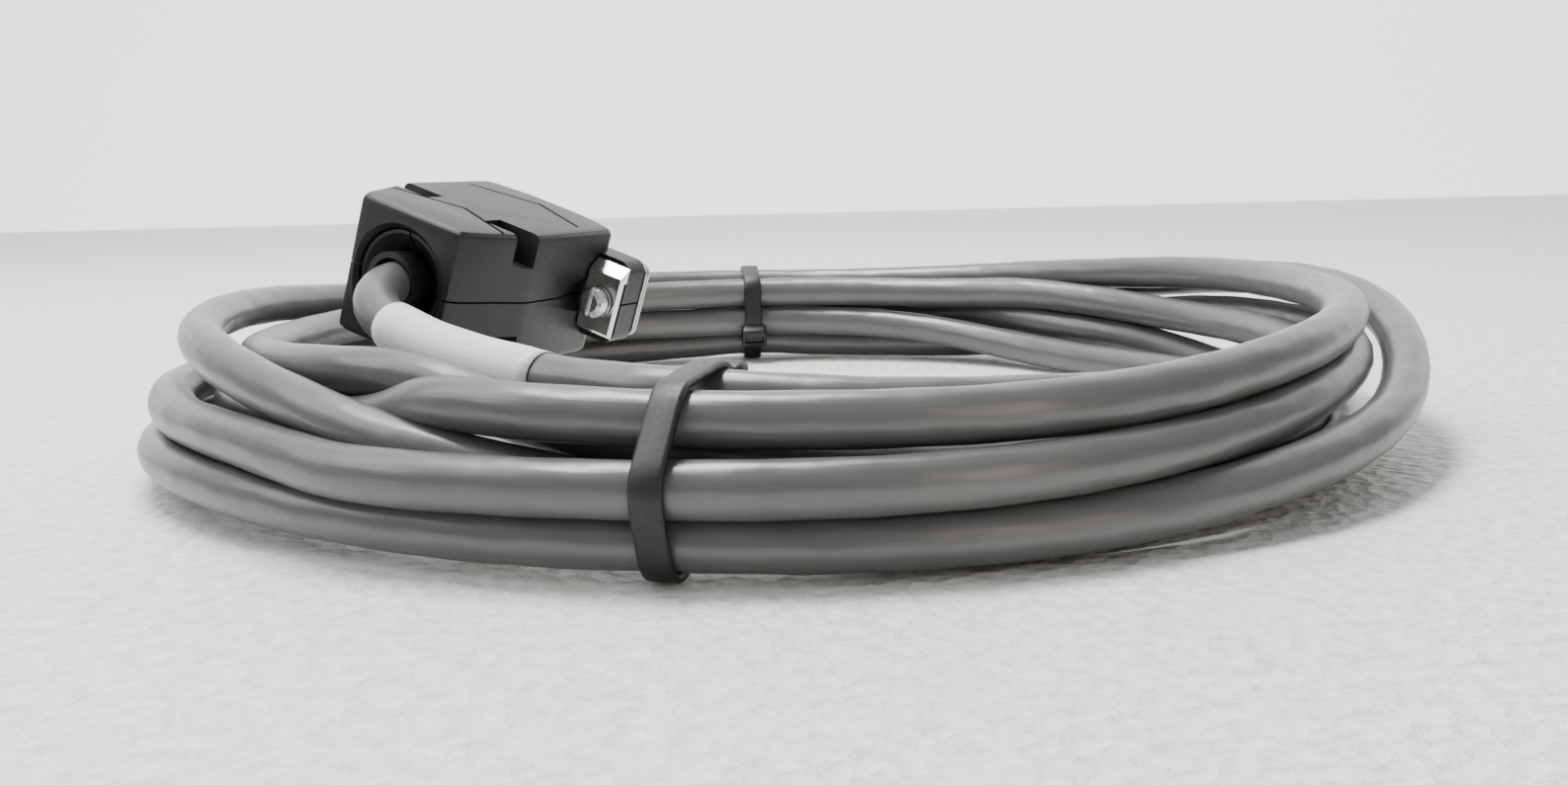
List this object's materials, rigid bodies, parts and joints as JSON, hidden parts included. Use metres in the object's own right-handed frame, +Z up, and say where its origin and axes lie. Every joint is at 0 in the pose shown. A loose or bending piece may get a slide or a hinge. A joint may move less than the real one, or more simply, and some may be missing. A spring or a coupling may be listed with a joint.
{
  "type": "instrument cable",
  "caption": "Coiled grey shielded multicore cable held by two cable ties, with a 15-way D-shaped screw-lock connector in a black plastic hood on each end.",
  "frame": {"origin": "on the floor, under the middle of the whole object", "axes": "+Z up out of the coil; +Y from the viewer side of the coil towards the second connector behind it; +X to the right"},
  "size_m": [0.198, 0.2289, 0.0424],
  "materials": {
    "jacket": "satin grey PVC jacket",
    "sleeve": "satin white heat-shrink",
    "nylon": "satin black nylon",
    "hood": "fine-textured black moulding",
    "clip": "bright nickel plate",
    "screw": "bright zinc plate",
    "tin": "tinned steel",
    "gold": "gold flash",
    "insulator": "moulded black insulator",
    "core": "satin core insulation",
    "brass": "plain brass"
  },
  "bodies": {
    "root": {"hood_upper_a": "hood", "hood_lower_a": "hood", "clamp_left_a": "hood", "clamp_right_a": "hood", "cable_bushing_a": "hood", "shield_collar_a": "brass", "core_bundle_a": "core", "shell_rear_a": "tin", "shell_front_a": "tin", "insulator_rear_a": "insulator", "insulator_front_a": "insulator", "screw_clip_left_a": "clip", "screw_clip_right_a": "clip", "hood_upper_b": "hood", "hood_lower_b": "hood", "clamp_left_b": "hood", "clamp_right_b": "hood", "cable_bushing_b": "hood", "shield_collar_b": "brass", "core_bundle_b": "core", "shell_rear_b": "tin", "shell_front_b": "tin", "insulator_rear_b": "insulator", "insulator_front_b": "insulator", "screw_clip_left_b": "clip", "screw_clip_right_b": "clip", "contact_01_a": "gold", "contact_02_a": "gold", "contact_03_a": "gold", "contact_04_a": "gold", "contact_05_a": "gold", "contact_06_a": "gold", "contact_07_a": "gold", "contact_08_a": "gold", "contact_09_a": "gold", "contact_10_a": "gold", "contact_11_a": "gold", "contact_12_a": "gold", "contact_13_a": "gold", "contact_14_a": "gold", "contact_15_a": "gold", "cable_coil": "jacket", "cable_tail_a": "jacket", "cable_tail_b": "jacket", "marker_sleeve": "sleeve", "cable_tie_front": "nylon", "cable_tie_back": "nylon"},
    "left_washer_a": {"lock_washer_left_a": "screw"},
    "left_screw_a": {"jackscrew_left_a": "screw"},
    "right_washer_a": {"lock_washer_right_a": "screw"},
    "right_screw_a": {"jackscrew_right_a": "screw"},
    "left_washer_b": {"lock_washer_left_b": "screw"},
    "left_screw_b": {"jackscrew_left_b": "screw"},
    "right_washer_b": {"lock_washer_right_b": "screw"},
    "right_screw_b": {"jackscrew_right_b": "screw"}
  },
  "joints": [
    {"name": "left_screw_float_a", "type": "slide", "parent": "root", "child": "left_washer_a", "axis": [-0.4384, -0.8988, 0], "range_m": [0, 0.003]},
    {"name": "left_screw_turn_a", "type": "hinge", "parent": "left_washer_a", "child": "left_screw_a", "pos_m": [-0.05928, -0.01303, 0.03362], "axis": [-0.4384, -0.8988, 0], "continuous": true},
    {"name": "right_screw_float_a", "type": "slide", "parent": "root", "child": "right_washer_a", "axis": [-0.4384, -0.8988, 0], "range_m": [0, 0.003]},
    {"name": "right_screw_turn_a", "type": "hinge", "parent": "right_washer_a", "child": "right_screw_a", "pos_m": [-0.03097, -0.02684, 0.02278], "axis": [-0.4384, -0.8988, 0], "continuous": true},
    {"name": "left_screw_float_b", "type": "slide", "parent": "root", "child": "left_washer_b", "axis": [1, 0, 0], "range_m": [0, 0.003]},
    {"name": "left_screw_turn_b", "type": "hinge", "parent": "left_washer_b", "child": "left_screw_b", "pos_m": [-0.072, 0.07804, 0.0108], "axis": [1, 0, 0], "continuous": true},
    {"name": "right_screw_float_b", "type": "slide", "parent": "root", "child": "right_washer_b", "axis": [1, 0, 0], "range_m": [0, 0.003]},
    {"name": "right_screw_turn_b", "type": "hinge", "parent": "right_washer_b", "child": "right_screw_b", "pos_m": [-0.072, 0.11136, 0.0108], "axis": [1, 0, 0], "continuous": true}
  ]
}
